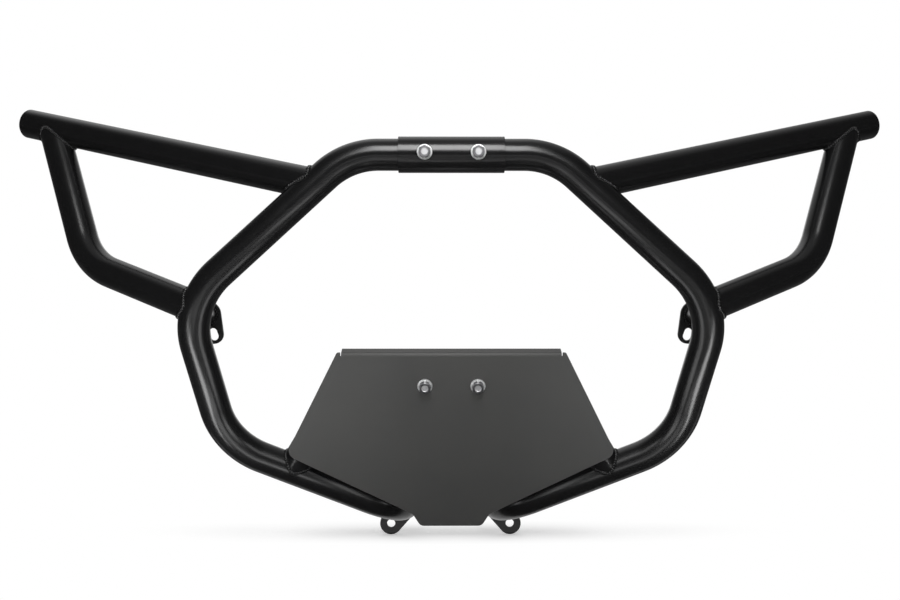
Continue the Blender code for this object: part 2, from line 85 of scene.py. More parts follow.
RAIL_ROOT_DROP = 0.0355
RAIL_END_X = 0.5628
RAIL_END_BACK = 0.1503
RAIL_END_RISE = 0.0632
BRACE_SETBACK = 0.040
BRACE_CORNER_X = 0.4555
BRACE_CORNER_BACK = 0.070
BRACE_CORNER_DROP = 0.1273
BRACE_ROOT_SHARE = 0.5
STANDOFF_SHARE = 0.6

SLEEVE_WALL = 0.0022
SLEEVE_LENGTH = 0.126
BOLT_SPACING = 0.063

SIDES = {"left": -1, "right": 1}
HOOP_BENDS = (BEND_RADIUS, BEND_RADIUS, BEND_RADIUS, REAR_BEND_RADIUS)
SLEEVE_RADIUS = TUBE_RADIUS + SEAT_GAP + SLEEVE_WALL

sleeve_low, sleeve_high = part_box("top_coupling_sleeve")
top_axis = (sleeve_low + sleeve_high) / 2.0
upper_place = Matrix.Translation((0.0, top_axis.y, top_axis.z))
lean_back = math.tan(TOP_LEAN) * SIDE_CORNER_DROP
lower_place = upper_place @ Matrix.Translation((0.0, -lean_back, -SIDE_CORNER_DROP))
lower_place @= Matrix.Rotation(LOWER_TILT, 4, "X")
print("axis of the top run at y %.4f, z %.4f" % (top_axis.y, top_axis.z))

# %% [markdown]
# ## The camera
# The picture of the real bumper was taken straight from the front, a little over a metre away and
# just below the middle. Placing the camera first means that every later render can be compared
# with it.

# %% Camera
CAMERA_PLACE = (-0.0080, -1.2318, 0.3246)
CAMERA_YAW = math.radians(-0.4)
CAMERA_LENS = 38.64
CAMERA_SHIFT_X = -0.0016

camera_data = bpy.data.cameras.new("camera")
camera_data.lens = CAMERA_LENS
camera_data.shift_x = CAMERA_SHIFT_X
camera = bpy.data.objects.new("camera", camera_data)
camera.location = CAMERA_PLACE
camera.rotation_euler = (math.radians(90.0), 0.0, CAMERA_YAW)
bpy.context.scene.collection.objects.link(camera)
bpy.context.scene.camera = camera
bpy.context.scene.view_settings.view_transform = "Standard"
print("camera %.2f m in front" % -CAMERA_PLACE[1])

# %% [markdown]
# ## Helpers for node trees
# Both the materials and the shapes below are node trees. They could be drawn by hand in the
# editor, but a script that builds them can be read, changed and run again. A few small helpers
# keep that short: a node is given what feeds it when it is made, and a Geometry Nodes tree is
# opened with named inputs and closed in one way.


# %% Node helpers
def feed(tree, node, *terms, **named):
    """Fills a node's sockets, in order or by name: a socket is linked, a plain value is set."""
    values = {name.replace("_", " "): value for name, value in named.items()}
    for key, value in [*enumerate(terms), *values.items()]:
        if isinstance(value, bpy.types.NodeSocket):
            tree.links.new(value, node.inputs[key])
        else:
            node.inputs[key].default_value = value


def add_node(tree, kind, *terms, **named):
    """Adds a node: names in small letters are its properties, all else fills its sockets."""
    node = tree.nodes.new(kind)
    for name in [name for name in named if name.islower()]:
        setattr(node, name, named.pop(name))
    feed(tree, node, *terms, **named)
    return node


def reckon(tree, operation, *terms, **settings):
    """The result of one sum on numbers and sockets."""
    return add_node(tree, "ShaderNodeMath", *terms, operation=operation, **settings).outputs["Value"]


def mix(tree, factor, first, second, kind="RGBA"):
    """The blend of a first colour or value with a second."""
    blend = add_node(tree, "ShaderNodeMix", data_type=kind, Factor=factor, A=first, B=second)
    return blend.outputs["Result"]


def ramp(tree, source, *limits):
    """A smooth step of one value: limits are where it starts and ends, then low and high."""
    kind = "ShaderNodeMapRange"
    return add_node(tree, kind, source, *limits, interpolation_type="SMOOTHSTEP").outputs["Result"]


def add_sockets(tree, direction, **kinds):
    """Adds named sockets to a tree, each of a kind such as Float or Color."""
    for name, kind in kinds.items():
        label = name.replace("_", " ")
        tree.interface.new_socket(label, in_out=direction, socket_type="NodeSocket" + kind)


def open_shape_tree(name, **inputs):
    """A Geometry Nodes tree, with the sockets that it is given and its end."""
    tree = bpy.data.node_groups.new(name, "GeometryNodeTree")
    add_sockets(tree, "INPUT", Geometry="Geometry", **inputs)
    add_sockets(tree, "OUTPUT", Geometry="Geometry")
    return tree, tree.nodes.new("NodeGroupInput").outputs, tree.nodes.new("NodeGroupOutput")


def close_shape_tree(tree, shape, coat, end):
    """Ends a tree: its instances become plain faces, shaded smooth, in a coat."""
    real = add_node(tree, "GeometryNodeRealizeInstances", shape)
    smooth = add_node(tree, "GeometryNodeSetShadeSmooth", real.outputs["Geometry"])
    paint = add_node(tree, "GeometryNodeSetMaterial", smooth.outputs["Geometry"], Material=coat)
    feed(tree, end, paint.outputs["Geometry"])


def set_mode(node, name):
    """Sets a mode, which is a socket on some nodes and a property on others."""
    if "Mode" in node.inputs:
        node.inputs["Mode"].default_value = name
    else:
        node.mode = name.upper()


def run_tree(thing, tree, **values):
    """Adds the tree to an object as a modifier, with its inputs set by socket identifier."""
    step = thing.modifiers.new(tree.name, "NODES")
    step.node_group = tree
    for item in tree.interface.items_tree:
        name = item.name.replace(" ", "_")
        if item.in_out == "INPUT" and name in values:
            step[item.identifier] = values[name]


def link_object(name, mesh):
    thing = bpy.data.objects.new(name, mesh)
    bpy.context.scene.collection.objects.link(thing)
    return thing


def bake(thing):
    """Makes the modifiers' result the object's own plain mesh."""
    bpy.context.view_layer.update()
    graph = bpy.context.evaluated_depsgraph_get()
    mesh = bpy.data.meshes.new_from_object(thing.evaluated_get(graph))
    thing.modifiers.clear()
    thing.data = mesh
    return thing


def object_from(form, name, material):
    """Makes a working form an object with one material."""
    mesh = bpy.data.meshes.new(name)
    form.to_mesh(mesh)
    form.free()
    mesh.materials.append(material)
    return link_object(name, mesh)


print("helpers ready in Blender", bpy.app.version_string)

# %% [markdown]
# ## Finishes
# Powder coat is sprayed dry and melted in an oven. It flows almost smooth, but keeps a faint
# "orange peel" and a little variation in gloss. A picture could give both, but would need every
# piece unwrapped. Noise in the object's own coordinates stays on the surface in every view
# without that. One shader group makes it for all the coats, and each sets its own strengths.


# %% Shared coat texture group
def coat_group():
    """A group that turns Object coordinates into gloss variation, tone variation and bumps."""
    group = bpy.data.node_groups.new("coat_texture", "ShaderNodeTree")
    add_sockets(group, "INPUT", Peel_Scale="Float", Cloud_Scale="Float", Peel_Height="Float")
    add_sockets(group, "INPUT", Roughness="Float", Roughness_Range="Float")
    add_sockets(group, "INPUT", Colour="Color", Cloud_Colour="Color")
    add_sockets(group, "OUTPUT", Colour="Color", Roughness="Float", Normal="Vector")
    given = group.nodes.new("NodeGroupInput").outputs
    place = add_node(group, "ShaderNodeTexCoord").outputs["Object"]
    noise = "ShaderNodeTexNoise"
    peel = add_node(
        group, noise, Vector=place, Scale=given["Peel Scale"], Detail=3.0, Roughness=0.6
    ).outputs["Fac"]
    cloud = add_node(
        group, noise, Vector=place, Scale=given["Cloud Scale"], Detail=4.0, Roughness=0.55
    ).outputs["Fac"]
    tone = mix(group, cloud, given["Colour"], given["Cloud Colour"])
    gloss = reckon(group, "MULTIPLY_ADD", cloud, given["Roughness Range"], given["Roughness"])
    bump = add_node(group, "ShaderNodeBump", Height=peel, Distance=given["Peel Height"])
    end = group.nodes.new("NodeGroupOutput")
    feed(group, end, Colour=tone, Roughness=gloss, Normal=bump.outputs["Normal"])
    return group


coat_texture = coat_group()


def principled(name):
    """A new material, with its node tree and its shader."""
    material = bpy.data.materials.new(name)
    material.use_nodes = True
    return material, material.node_tree, material.node_tree.nodes["Principled BSDF"]


def coat(name, **values):
    """A powder coat on the shared texture group, whose inputs are given by name."""
    material, tree, shader = principled(name)
    made = add_node(tree, "ShaderNodeGroup", node_tree=coat_texture, **values).outputs
    feed(tree, shader, Base_Color=made["Colour"], Roughness=made["Roughness"], Normal=made["Normal"])
    return material


tube_coat = coat(
    "black_powder_coat",
    Colour=(0.0050, 0.0050, 0.0052, 1.0),
    Cloud_Colour=(0.0066, 0.0066, 0.0069, 1.0),
    Roughness=0.21,
    Roughness_Range=0.06,
    Peel_Scale=900.0,
    Cloud_Scale=45.0,
    Peel_Height=0.00001,
)
tab_coat = coat(
    "black_tab_coat",
    Colour=(0.012, 0.012, 0.012, 1.0),
    Cloud_Colour=(0.016, 0.016, 0.016, 1.0),
    Roughness=0.45,
    Roughness_Range=0.10,
    Peel_Scale=1200.0,
    Cloud_Scale=60.0,
    Peel_Height=0.00004,
)
plate_coat = coat(
    "dark_grey_plate_coat",
    Colour=(0.050, 0.050, 0.050, 1.0),
    Cloud_Colour=(0.060, 0.0595, 0.0560, 1.0),
    Roughness=0.48,
    Roughness_Range=0.10,
    Peel_Scale=1500.0,
    Cloud_Scale=14.0,
    Peel_Height=0.00003,
)
print("coats:", tube_coat.name, tab_coat.name, plate_coat.name)

# %% [markdown]
# ## Zinc plating
# The bolts and nuts are zinc plated in a bath after they are formed. The plating is bright and a
# little cloudy, and the flat ring of the head's face is smoother. That ring is also painted darker,
# and the dish inside it a duller grey. This is painted shade, standing in for the dark ring and dim
# centre that the head shows under the lamps. Three materials could give that, but would need three
# sets of faces. One metal that measures its distance from the bolt's axis blends them on any mesh.

# %% Zinc plating
HEAD_FACE_INNER = 0.0044
HEAD_FACE_OUTER = 0.0069
HEAD_FACE_BLUR = 0.0004
ZINC_DARK = (0.86, 0.87, 0.88, 1.0)
ZINC_BRIGHT = (0.95, 0.95, 0.94, 1.0)
# Painted shade: the dish colour greys the head's dish, and the face colour darkens the ring of the
# head's face.
ZINC_DISH_SHADE = (0.76, 0.76, 0.77, 1.0)
ZINC_RING_SHADE = (0.27, 0.27, 0.28, 1.0)
ZINC_ROUGHNESS = 0.54
ZINC_FACE_ROUGHNESS = 0.30
STAIN_ROUGHNESS = 0.12
STAIN_SCALE = 260.0
MARK_SCALE = 2200.0
MARK_HEIGHT = 0.000006


def zinc(name, place, spacing):
    """Bright zinc for two bolts spaced along a place's X axis: rings measured from each axis."""
    material, tree, shader = principled(name)
    whole = add_node(tree, "ShaderNodeTexCoord").outputs["Object"]
    local = add_node(
        tree,
        "ShaderNodeMapping",
        vector_type="TEXTURE",
        Vector=whole,
        Location=place.to_translation(),
        Rotation=place.to_euler(),
    )
    axes = add_node(tree, "ShaderNodeSeparateXYZ", local.outputs["Vector"]).outputs
    offset = reckon(tree, "SUBTRACT", reckon(tree, "ABSOLUTE", axes["X"]), spacing / 2.0)
    flat = add_node(tree, "ShaderNodeCombineXYZ", X=offset, Z=axes["Z"])
    radius = add_node(tree, "ShaderNodeVectorMath", flat.outputs["Vector"], operation="LENGTH")
    distance = radius.outputs["Value"]
    inner = ramp(tree, distance, HEAD_FACE_INNER - HEAD_FACE_BLUR, HEAD_FACE_INNER, 0.0, 1.0)
    outer = ramp(tree, distance, HEAD_FACE_OUTER, HEAD_FACE_OUTER + HEAD_FACE_BLUR, 1.0, 0.0)
    face = reckon(tree, "MULTIPLY", inner, outer)
    noise = "ShaderNodeTexNoise"
    marks = add_node(tree, noise, Vector=whole, Scale=MARK_SCALE, Detail=2.0, Roughness=0.7)
    stain = add_node(tree, noise, Vector=whole, Scale=STAIN_SCALE, Detail=3.0).outputs["Fac"]
    # Painted shade in the head's dish and on its ring. The stain is the plating's own cloudiness.
    flats = mix(tree, inner, ZINC_DISH_SHADE, mix(tree, stain, ZINC_DARK, ZINC_BRIGHT))
    tone = mix(tree, face, flats, ZINC_RING_SHADE)
    rough = ramp(tree, face, 0.0, 1.0, ZINC_ROUGHNESS, ZINC_FACE_ROUGHNESS)
    gloss = reckon(tree, "MULTIPLY_ADD", stain, STAIN_ROUGHNESS, rough)
    bump = add_node(tree, "ShaderNodeBump", Height=marks.outputs["Fac"], Distance=MARK_HEIGHT)
    feed(tree, shader, Metallic=1.0, Base_Color=tone, Roughness=gloss, Normal=bump.outputs["Normal"])
    return material


head_face = (HEAD_FACE_INNER * 1000.0, HEAD_FACE_OUTER * 1000.0)
print("darker ring of a bolt's head from radius %.1f to %.1f mm" % head_face)

# %% [markdown]
# ## Bent tube
# A tube bender pulls straight tube round a die. A curve drawn by hand could look the same, but
# its bends would only be near to round. The Geometry Nodes tree below works as the bender does:
# it takes straight legs, rounds each corner to the die's radius and sweeps a circle along the
# result. Solidify then gives the skin its wall. A second run of the tree, with closed ends and a
# slightly larger circle, gives the solid bar that copes whatever meets that tube.

# %% Bent tube tree
ARC_STEPS = 28
TUBE_SIDES = 64
LONG_EDGE = 0.03
LONG_CUTS = 9
MERGE_DISTANCE = 1e-6
EDGE_ANGLE = math.radians(30.0)


def bent_tube_tree():
    tree, given, end = open_shape_tree(
        "bent_tube",
        Tube_Radius="Float",
        Arc_Steps="Int",
        Sides="Int",
        Closed_Ends="Bool",
        Coat="Material",
    )
    legs = add_node(tree, "GeometryNodeMeshToCurve", given["Geometry"]).outputs["Curve"]
    die = add_node(tree, "GeometryNodeInputNamedAttribute", data_type="FLOAT", Name="die_radius")
    bend = add_node(tree, "GeometryNodeFilletCurve")
    set_mode(bend, "Poly")
    feed(tree, bend, Curve=legs, Radius=die.outputs["Attribute"], Count=given["Arc Steps"])
    circle = add_node(tree, "GeometryNodeCurvePrimitiveCircle")
    feed(tree, circle, Resolution=given["Sides"], Radius=given["Tube Radius"])
    sweep = add_node(
        tree,
        "GeometryNodeCurveToMesh",
        Curve=bend.outputs["Curve"],
        Profile_Curve=circle.outputs["Curve"],
        Fill_Caps=given["Closed Ends"],
    )
    close_shape_tree(tree, sweep.outputs["Mesh"], given["Coat"], end)
    return tree


tube_tree = bent_tube_tree()


def sweep_tube(name, corners, radius, die_radii=(), closed=False):
    """A tube skin, or a closed bar, along straight legs with one die radius for each bend."""
    mesh = bpy.data.meshes.new(name)
    mesh.from_pydata(corners, [(i, i + 1) for i in range(len(corners) - 1)], [])
    dies = mesh.attributes.new("die_radius", "FLOAT", "POINT")
    dies.data.foreach_set("value", [0.0, *die_radii, 0.0])
    thing = link_object(name, mesh)
    run_tree(
        thing,
        tube_tree,
        Tube_Radius=radius,
        Arc_Steps=ARC_STEPS,
        Sides=TUBE_SIDES,
        Closed_Ends=closed,
        Coat=tube_coat,
    )
    return thing


def add_boolean(thing, other, operation):
    step = thing.modifiers.new("boolean", "BOOLEAN")
    step.operation = operation
    step.solver = "EXACT"
    step.object = other


def tube(name, corners, radius, wall, die_radii=(), copes=()):
    """A piece of tube with its wall, coped by the bars that it meets."""
    thing = sweep_tube(name, corners, radius, die_radii)
    skin = thing.modifiers.new("wall", "SOLIDIFY")
    skin.thickness = wall
    skin.offset = -1.0
    bake(thing)
    tidy(thing.data)
    for other in copes:
        add_boolean(thing, other, "DIFFERENCE")
    bake(thing)
    thing.data.shade_smooth()
    thing.data.set_sharp_from_angle(angle=EDGE_ANGLE)
    return thing


def tidy(mesh):
    """Merges doubles, divides the long straight faces and turns all faces outward."""
    form = bmesh.new()
    form.from_mesh(mesh)
    bmesh.ops.remove_doubles(form, verts=form.verts, dist=MERGE_DISTANCE)
    long_edges = [edge for edge in form.edges if edge.calc_length() > LONG_EDGE]
    bmesh.ops.subdivide_edges(form, edges=long_edges, cuts=LONG_CUTS, use_grid_fill=True)
    bmesh.ops.recalc_face_normals(form, faces=form.faces)
    form.to_mesh(mesh)
    form.free()


def bar(name, corners, radius, die_radii=()):
    """The closed bar that a coped tube is cut with."""
    thing = bake(sweep_tube(name, corners, radius, die_radii, closed=True))
    tidy(thing.data)
    return thing


print("tube tree:", len(tube_tree.nodes), "nodes")

# %% [markdown]
# ## Where the tubes run
# The left half mirrors the right, so one function gives the corner points for either side. A
# Mirror modifier could do that too, but would join both halves in one piece, and the real ones
# come apart. The points are those that the tube bender would be given.


# %% Centre-lines
def side_point(place, side, x, y, z):
    """A point of the right half in a place's own axes, taken to one side of the bumper."""
    point = place @ Vector((x, y, z))
    return Vector((side * point.x, point.y, point.z))


def hoop_line(side):
    rear = side_point(lower_place, side, REAR_CORNER_X, 0.0, -REAR_CORNER_DROP)
    return [
        side_point(upper_place, side, JOINT_GAP / 2.0, 0.0, 0.0),
        side_point(upper_place, side, TOP_CORNER_X, 0.0, 0.0),
        side_point(lower_place, side, SIDE_CORNER_X, 0.0, 0.0),
        side_point(lower_place, side, LEG_CORNER_X, 0.0, -LEG_CORNER_DROP),
        rear,
        rear + Vector((0.0, REAR_RUN, 0.0)),
    ]


def on_side_bend(line, share):
    """The point a share of the way round the hoop's side bend."""
    before, corner, after = line[1:4]
    inward = (corner - before).normalized()
    onward = (after - corner).normalized()
    angle = inward.angle(onward)
    start = corner - inward * BEND_RADIUS * math.tan(angle / 2.0)
    axis = inward.cross(onward).normalized()
    centre = start + axis.cross(inward) * BEND_RADIUS
    return centre + Matrix.Rotation(angle * share, 3, axis) @ (start - centre)


def wing_lines(side, hoop):
    """The rail's two ends, and the brace's three corners."""
    diagonal = hoop[2] - hoop[1]
    root = hoop[1] + diagonal * RAIL_ROOT_DROP / (hoop[1].z - hoop[2].z)
    end = side_point(upper_place, side, RAIL_END_X, RAIL_END_BACK, RAIL_END_RISE)
    brace = [
        end - (end - root).normalized() * BRACE_SETBACK,
        side_point(upper_place, side, BRACE_CORNER_X, BRACE_CORNER_BACK, -BRACE_CORNER_DROP),
        on_side_bend(hoop, BRACE_ROOT_SHARE),
    ]
    return [root, end], brace


def cross_line(side):
    along = (LEG_CORNER_X - CROSS_FOOT_X) / (LEG_CORNER_X - REAR_CORNER_X)
    foot_drop = LEG_CORNER_DROP + along * (REAR_CORNER_DROP - LEG_CORNER_DROP)
    back = SLEEVE_WALL + SEAT_GAP
    return [
        side_point(lower_place, side, JOINT_GAP / 2.0, back, -CROSS_DROP),
        side_point(lower_place, side, CROSS_CORNER_X, back, -CROSS_DROP),
        side_point(lower_place, side, CROSS_FOOT_X, 0.0, -foot_drop),
    ]


for name, side in SIDES.items():
    end = hoop_line(side)[-1]
    print(name, "hoop ends at (%.4f, %.4f, %.4f)" % tuple(end))

# %% [markdown]
# ## Weld beads
# Each joint is welded all round before the bumper is coated. The bead lies where the coped tube
# meets the other: rays cast along the coped tube find that line on the other's surface. The
# Geometry Nodes tree then lays overlapping ripples along it, each one the small puddle of metal
# that the welder left before moving on. A plain round bead would be quicker, but reads as a
# rubber ring.

# %% Weld bead tree
BEAD_RADIUS = 0.0027
RIPPLE_SPACING = 0.0031
RIPPLE_THINNESS = 0.80
RIPPLE_VARIATION = 0.20
SEAM_POINTS = 96
PUDDLE_SEGMENTS = 16
PUDDLE_RINGS = 10
BEAD_SEED = 7


def weld_tree():
    tree, given, end = open_shape_tree(
        "weld_bead",
        Bead_Radius="Float",
        Ripple_Spacing="Float",
        Ripple_Thinness="Float",
        Variation="Float",
        Seed="Int",
        Coat="Material",
    )
    seam = add_node(tree, "GeometryNodeMeshToCurve", given["Geometry"]).outputs["Curve"]
    spaced = add_node(tree, "GeometryNodeResampleCurve")
    set_mode(spaced, "Length")
    feed(tree, spaced, Curve=seam, Length=given["Ripple Spacing"])
    tangent = add_node(tree, "GeometryNodeInputTangent").outputs["Tangent"]
    turn = add_node(tree, "FunctionNodeAlignRotationToVector", axis="Z", Vector=tangent)
    puddle = add_node(tree, "GeometryNodeMeshUVSphere", PUDDLE_SEGMENTS, PUDDLE_RINGS, 1.0)
    vary = add_node(
        tree,
        "FunctionNodeRandomValue",
        data_type="FLOAT",
        Min=reckon(tree, "SUBTRACT", 1.0, given["Variation"]),
        Max=reckon(tree, "ADD", 1.0, given["Variation"]),
        Seed=given["Seed"],
    )
    size = reckon(tree, "MULTIPLY", vary.outputs["Value"], given["Bead Radius"])
    thin = reckon(tree, "MULTIPLY", size, given["Ripple Thinness"])
    ripples = add_node(
        tree,
        "GeometryNodeInstanceOnPoints",
        Points=spaced.outputs["Curve"],
        Instance=puddle.outputs["Mesh"],
        Rotation=turn.outputs["Rotation"],
        Scale=add_node(tree, "ShaderNodeCombineXYZ", size, size, thin).outputs["Vector"],
    )
    close_shape_tree(tree, ripples.outputs["Instances"], given["Coat"], end)
    return tree


bead_tree = weld_tree()


def seam_line(target, start, end, radius):
    """Where the surface of a tube from start to end meets the target's surface."""
    surface = BVHTree.FromPolygons(
        [vert.co for vert in target.data.vertices], [face.vertices for face in target.data.polygons]
    )
    along = (end - start).normalized()
    across = along.orthogonal().normalized()
    points = []
    for step in range(SEAM_POINTS):
        offset = Matrix.Rotation(math.tau * step / SEAM_POINTS, 3, along) @ across * radius
        hit = surface.ray_cast(start + offset, along)[0]
        if hit is not None:
            points.append(hit)
    return points


def weld(name, points, bead_radius=BEAD_RADIUS):
    """A closed bead of overlapping ripples along a seam."""
    mesh = bpy.data.meshes.new(name)
    count = len(points)
    mesh.from_pydata(points, [(i, (i + 1) % count) for i in range(count)], [])
    thing = link_object(name, mesh)
    run_tree(
        thing,
        bead_tree,
        Bead_Radius=bead_radius,
        Ripple_Spacing=RIPPLE_SPACING,
        Ripple_Thinness=RIPPLE_THINNESS,
        Variation=RIPPLE_VARIATION,
        Seed=BEAD_SEED,
        Coat=tube_coat,
    )
    return bake(thing)


print("bead tree:", len(bead_tree.nodes), "nodes")

# %% [markdown]
# ## Flat tabs, caps and turned pieces
# The tabs are plasma-cut plate with a slightly broken edge. Squashed cylinders could stand for
# them, but an outline drawn to its thickness with a small bevel keeps the true form when a size
# changes. Round pieces such as the end caps and the fasteners' flanges are turned from half an
# outline.

# %% Plate and turning helpers
TURN_STEPS = 64
EDGE_BREAK = 0.0006
EDGE_SEGMENTS = 3
BOOLEAN_REACH = 0.004


def hull_outline(circles, steps=TURN_STEPS):
    """The outline of a belt pulled tight round circles given as (x, z, radius)."""
    points = []
    for x, z, radius in circles:
        for step in range(steps):
            angle = math.tau * step / steps
            points.append(Vector((x + radius * math.cos(angle), z + radius * math.sin(angle))))
    return [points[index] for index in convex_hull_2d(points)]


def drawn_plate(name, outline, thickness, place, material):
    """A closed plate from an outline of (x, z) points, drawn to the rear of its place."""
    form = bmesh.new()
    face = form.faces.new([form.verts.new((x, 0.0, z)) for x, z in outline])
    grown = bmesh.ops.extrude_face_region(form, geom=[face], use_keep_orig=True)["geom"]
    moved = [item for item in grown if isinstance(item, bmesh.types.BMVert)]
    bmesh.ops.translate(form, verts=moved, vec=(0.0, thickness, 0.0))
    bmesh.ops.recalc_face_normals(form, faces=form.faces)
    form.transform(place)
    return object_from(form, name, material)


def combined(first, second, operation):
    """Cuts, joins or intersects the first object with the second, which is used up."""
    add_boolean(first, second, operation)
    bake(first)
    bpy.data.objects.remove(second)
    return first


def broken_edges(thing, width=EDGE_BREAK):
    """Rounds the sharp edges a little, as a coated edge is, and shades the rest smooth."""
    edge = thing.modifiers.new("edge break", "BEVEL")
    edge.width = width
    edge.segments = EDGE_SEGMENTS
    edge.limit_method = "ANGLE"
    edge.angle_limit = EDGE_ANGLE
    edge.use_clamp_overlap = True
    bake(thing)
    thing.data.shade_smooth()
    weigh = thing.modifiers.new("weighted normals", "WEIGHTED_NORMAL")
    weigh.mode = "FACE_AREA"
    return bake(thing)


def turned(name, profile, place, material, steps=TURN_STEPS):
    """A solid turned about its place's Z axis from (radius, height) points."""
    form = bmesh.new()
    verts = [form.verts.new((radius, 0.0, height)) for radius, height in profile]
    edges = []
    for start, end in zip(verts, verts[1:] + verts[:1]):
        if start.co.x + end.co.x > 0.0:
            edges.append(form.edges.new((start, end)))
    bmesh.ops.spin(
        form,
        geom=verts + edges,
        cent=(0.0, 0.0, 0.0),
        axis=(0.0, 0.0, 1.0),
        angle=math.tau,
        steps=steps,
        use_merge=True,
    )
    bmesh.ops.remove_doubles(form, verts=form.verts, dist=MERGE_DISTANCE)
    bmesh.ops.recalc_face_normals(form, faces=form.faces)
    form.transform(place)
    thing = object_from(form, name, material)
    thing.data.shade_smooth()
    thing.data.set_sharp_from_angle(angle=EDGE_ANGLE)
    return thing


print("edges are broken by %.1f mm and turned in %d steps" % (EDGE_BREAK * 1000.0, TURN_STEPS))

# %% [markdown]
# ## The hoop
# Two mirrored tubes meet under the top sleeve. They could be one long tube, but the real ones
# part there, so each half is a piece. Nothing copes them, so they are only swept and given their
# wall. The bars made beside them cut the tubes that are welded to them.

# %% Hoop tubes
def finished(piece, node):
    """Parents the piece to the root body and hides the imported node that it stands in for."""
    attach(piece, "root")
    if node is not None:
        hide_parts(node)
    return piece


hoop_lines = {}
hoops = {}
hoop_bars = {}
for name, side in SIDES.items():
    hoop_lines[name] = hoop_line(side)
    piece = tube(name + "_hoop", hoop_lines[name], TUBE_RADIUS, TUBE_WALL, HOOP_BENDS)
    hoops[name] = finished(piece, name + "_hoop_tube")
    bar_radius = TUBE_RADIUS + SEAT_GAP
    hoop_bars[name] = bar(name + " hoop bar", hoop_lines[name], bar_radius, HOOP_BENDS)
    print(piece.name, len(piece.data.polygons), "faces")

# %% [markdown]
# ## The wings
# The rail is straight tube, the brace is bent once. The brace meets the hoop at its side bend and
# the rail close to the rail's end, so it is coped at both ends and welded at both. The tubes
# could simply run into each other, but then their hidden ends would overlap, so they are cut.

# %% Wing rails, braces, caps and their welds
CAP_DOME = 0.004
CAP_EDGE = 0.0015
CAP_STEPS = 14
SEAM_INSET = 0.985


def cap_profile():
    drop = CAP_DOME - CAP_EDGE
    sphere = (TUBE_RADIUS**2 + drop**2) / (2.0 * drop)
    reach = math.asin(TUBE_RADIUS / sphere)
    profile = [(0.0, 0.0), (TUBE_RADIUS, 0.0)]
    for step in range(CAP_STEPS + 1):
        angle = reach * (1.0 - step / CAP_STEPS)
        profile.append((sphere * math.sin(angle), CAP_DOME - sphere + sphere * math.cos(angle)))
    return profile


for name, side in SIDES.items():
    rail_ends, brace_line = wing_lines(side, hoop_lines[name])
    rail_axis = (rail_ends[1] - rail_ends[0]).normalized()
    outer_end = rail_ends[1] + rail_axis * SEAT_GAP
    legs = [rail_ends[0], outer_end]
    rail = tube(name + "_rail", legs, TUBE_RADIUS, TUBE_WALL, (), [hoop_bars[name]])
    finished(rail, name + "_wing_rail")
    rail_bar = bar(name + " rail bar", rail_ends, bar_radius)
    copes = [hoop_bars[name], rail_bar]
    brace = tube(name + "_brace", brace_line, TUBE_RADIUS, TUBE_WALL, (BEND_RADIUS,), copes)
    finished(brace, name + "_wing_brace")
    cap_turn = rail_axis.to_track_quat("Z", "Y").to_matrix().to_4x4()
    cap = turned(name + "_cap", cap_profile(), Matrix.Translation(outer_end) @ cap_turn, tube_coat)
    finished(cap, name + "_rail_end_cap")
    seam_radius = TUBE_RADIUS * SEAM_INSET
    seams = {
        "rail_root": seam_line(hoop_bars[name], rail_ends[1], rail_ends[0], seam_radius),
        "brace_root": seam_line(hoop_bars[name], brace_line[1], brace_line[2], seam_radius),
        "brace_top": seam_line(rail_bar, brace_line[1], brace_line[0], seam_radius),
    }
    for seam_name, points in seams.items():
        finished(weld(name + "_weld_" + seam_name, points), None)
        print(name, seam_name, "seam of", len(points), "points")
    bpy.data.objects.remove(rail_bar)
    brace_bar = bar(name + " brace bar", brace_line, bar_radius, (BEND_RADIUS,))
    hoop_bars[name + " brace"] = brace_bar

# %% [markdown]
# ## The cross tubes and both sleeves
# Behind the plate two bent tubes rise from the hoop's bottom runs and meet in a second sleeve.
# The sleeves are short tubes with a visible wall at their ends. A plain cylinder would hide that
# wall, so they come from the tube tree too, and their edges are broken.

# %% Cross tubes and sleeves
SLEEVE_EDGE = 0.0004

for name, side in SIDES.items():
    line = cross_line(side)
    cross = tube(name + "_cross", line, TUBE_RADIUS, TUBE_WALL, (BEND_RADIUS,), [hoop_bars[name]])
    finished(cross, name + "_cross_tube")
    points = seam_line(hoop_bars[name], line[1], line[2], TUBE_RADIUS * SEAM_INSET)
    finished(weld(name + "_weld_cross_foot", points), None)

sleeve_places = {
    "top": upper_place,
    "cross": lower_place @ Matrix.Translation((0.0, SLEEVE_WALL + SEAT_GAP, -CROSS_DROP)),
}
for name, place in sleeve_places.items():
    half = SLEEVE_LENGTH / 2.0
    ends = [place @ Vector((-half, 0.0, 0.0)), place @ Vector((half, 0.0, 0.0))]
    sleeve = tube(name + "_sleeve", ends, SLEEVE_RADIUS, SLEEVE_WALL)
    finished(broken_edges(sleeve, SLEEVE_EDGE), name + "_coupling_sleeve")
    print(sleeve.name, "from x %.3f to %.3f" % (ends[0].x, ends[1].x))

# %% [markdown]
# ## Mounting tabs
# The upper tab is welded to a short stud behind the side bend, the lower tab closes the hoop's
# rear end. Each tab is the hull of two circles with a slot or a hole in its lobe. Its outline
# could be a list of points, but two circles say how it was drawn and stay round at any size.

# %% Standoffs, upper tabs and lower tabs
STANDOFF_RADIUS = 0.013
STANDOFF_WALL = 0.003
UPPER_TAB_BACK = 0.050
TAB_THICKNESS = 0.005
UPPER_TAB_RADIUS = 0.0175
UPPER_LOBE_RADIUS = 0.012
UPPER_LOBE_INWARD = 0.0088
UPPER_LOBE_DROP = 0.0242
UPPER_SLOT_WIDTH = 0.0105
UPPER_SLOT_LENGTH = 0.0156
LOWER_PAD_RADIUS = 0.025
LOWER_LOBE_RADIUS = 0.0152
LOWER_LOBE_OUTWARD = 0.0222
LOWER_LOBE_DROP = 0.0397
LOWER_HOLE_RADIUS = 0.0057
TAB_BEAD_RADIUS = 0.0021


